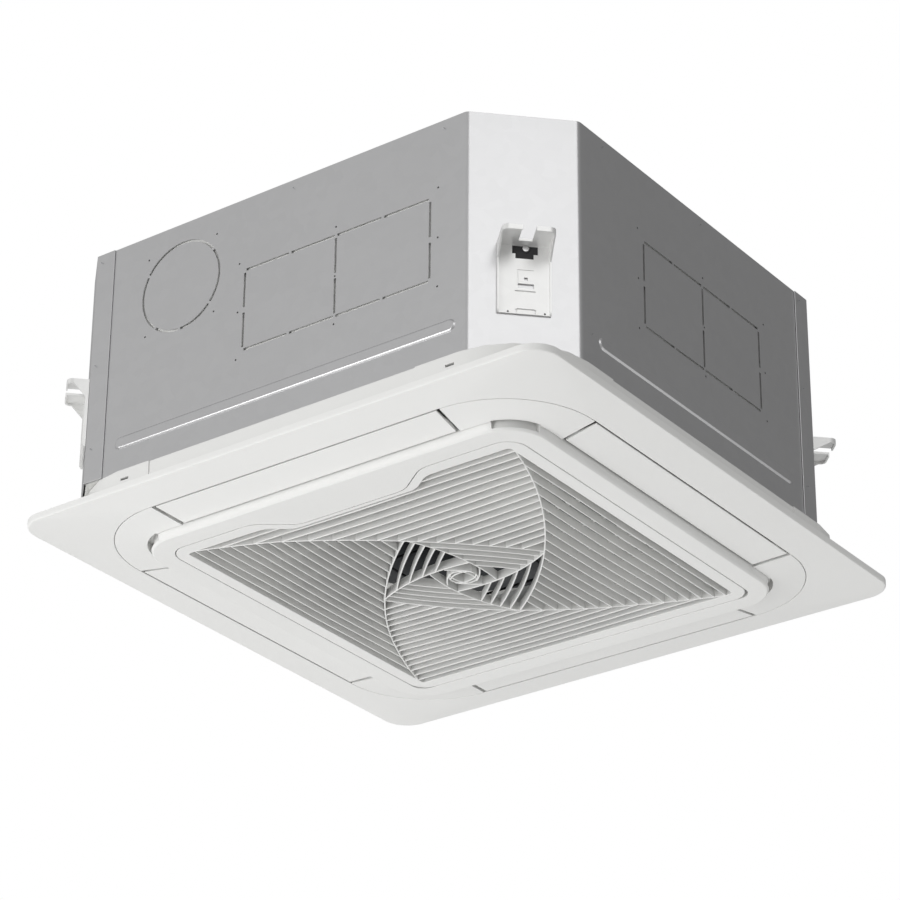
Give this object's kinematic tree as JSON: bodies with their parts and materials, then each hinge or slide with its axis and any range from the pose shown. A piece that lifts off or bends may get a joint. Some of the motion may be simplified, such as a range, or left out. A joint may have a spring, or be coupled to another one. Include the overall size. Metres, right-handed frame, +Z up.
{
  "type": "ceiling cassette air conditioner",
  "caption": "Square ceiling cassette air conditioner with a swirl-slatted hinged intake grille, tilting air vanes, zinc sheet body, hanger brackets and a turbo fan.",
  "frame": {"origin": "middle of the square panel, level with the lowest point of the bulged grille", "axes": "+Z up into the ceiling, -Y towards the side with the stepped grille edge, -X towards the piping side"},
  "size_m": [0.62, 0.62, 0.314],
  "materials": {
    "panel_white": "satin moulded white",
    "cover_white": "satin moulded white",
    "vane_white": "satin moulded white",
    "grille_white": "satin moulded white",
    "housing_white": "matt white",
    "sheet_zinc": "zinc-coated sheet, smooth satin",
    "bracket_zinc": "zinc-plated, bright",
    "foam_white": "expanded foam, matt",
    "coil_fins": "bare fins",
    "steel_inside": "zinc-coated sheet",
    "fan_plastic": "dark moulded plastic",
    "mouth_plastic": "dark moulded plastic",
    "filter_mesh": "dark mesh",
    "motor_steel": "satin grey",
    "shaft_steel": "turned steel",
    "rubber_black": "matt black",
    "copper_pipe": "drawn copper",
    "nut_brass": "machined brass",
    "drain_plastic": "grey moulded plastic",
    "board_green": "circuit board",
    "block_black": "black moulded plastic",
    "float_white": "white moulded plastic"
  },
  "bodies": {
    "unit": {"panel_frame": "panel_white", "panel_housing": "housing_white", "corner_cover_near": "cover_white", "corner_cover_right": "cover_white", "corner_cover_far": "cover_white", "corner_cover_left": "cover_white", "vane_motor_near_left": "motor_steel", "vane_motor_near_right": "motor_steel", "vane_motor_far_right": "motor_steel", "vane_motor_far_left": "motor_steel", "receiver_board": "board_green", "front_sheet": "sheet_zinc", "rear_sheet": "sheet_zinc", "corner_plate_right": "sheet_zinc", "corner_plate_left": "sheet_zinc", "top_plate": "sheet_zinc", "hanger_bracket_near": "bracket_zinc", "hanger_bracket_right": "bracket_zinc", "hanger_bracket_far": "bracket_zinc", "hanger_bracket_left": "bracket_zinc", "foam_liner": "foam_white", "drain_pan": "foam_white", "coil_leg_near_left": "coil_fins", "coil_leg_near_right": "coil_fins", "coil_leg_far_right": "coil_fins", "coil_leg_far_left": "coil_fins", "tube_plate_near": "steel_inside", "tube_plate_left": "steel_inside", "bell_mouth": "mouth_plastic", "fan_motor": "motor_steel", "motor_post_1": "rubber_black", "motor_post_2": "rubber_black", "motor_post_3": "rubber_black", "control_box": "steel_inside", "control_box_cover": "steel_inside", "control_board": "board_green", "terminal_block": "block_black", "gas_pipe": "copper_pipe", "gas_flare_nut": "nut_brass", "liquid_pipe": "copper_pipe", "liquid_flare_nut": "nut_brass", "drain_outlet": "drain_plastic", "drain_pump": "drain_plastic", "float_switch": "float_white"},
    "grille": {"intake_grille": "grille_white", "grille_hinge_pin_left": "shaft_steel", "grille_hinge_pin_right": "shaft_steel", "grille_catch_left": "grille_white", "grille_catch_right": "grille_white", "air_filter": "filter_mesh"},
    "fan": {"turbo_fan": "fan_plastic", "motor_shaft": "shaft_steel", "fan_nut": "shaft_steel"},
    "air_vane_near_left": {"vane_near_left": "vane_white"},
    "air_vane_near_right": {"vane_near_right": "vane_white"},
    "air_vane_far_right": {"vane_far_right": "vane_white"},
    "air_vane_far_left": {"vane_far_left": "vane_white"}
  },
  "joints": [
    {"name": "grille_hinge", "type": "hinge", "parent": "unit", "child": "grille", "pos_m": [0, 0.196, 0.0073], "axis": [1, 0, 0], "range_deg": [0, 90]},
    {"name": "vane_near_left_tilt", "type": "hinge", "parent": "unit", "child": "air_vane_near_left", "pos_m": [0, -0.243, 0.0195], "axis": [1, 0, 0], "range_deg": [0, 50]},
    {"name": "vane_near_right_tilt", "type": "hinge", "parent": "unit", "child": "air_vane_near_right", "pos_m": [0.243, 0, 0.0195], "axis": [0, 1, 0], "range_deg": [0, 50]},
    {"name": "vane_far_right_tilt", "type": "hinge", "parent": "unit", "child": "air_vane_far_right", "pos_m": [0, 0.243, 0.0195], "axis": [-1, 0, 0], "range_deg": [0, 50]},
    {"name": "vane_far_left_tilt", "type": "hinge", "parent": "unit", "child": "air_vane_far_left", "pos_m": [-0.243, 0, 0.0195], "axis": [0, -1, 0], "range_deg": [0, 50]},
    {"name": "fan_spin", "type": "hinge", "parent": "unit", "child": "fan", "pos_m": [0, 0, 0.18], "axis": [0, 0, 1], "continuous": true}
  ]
}
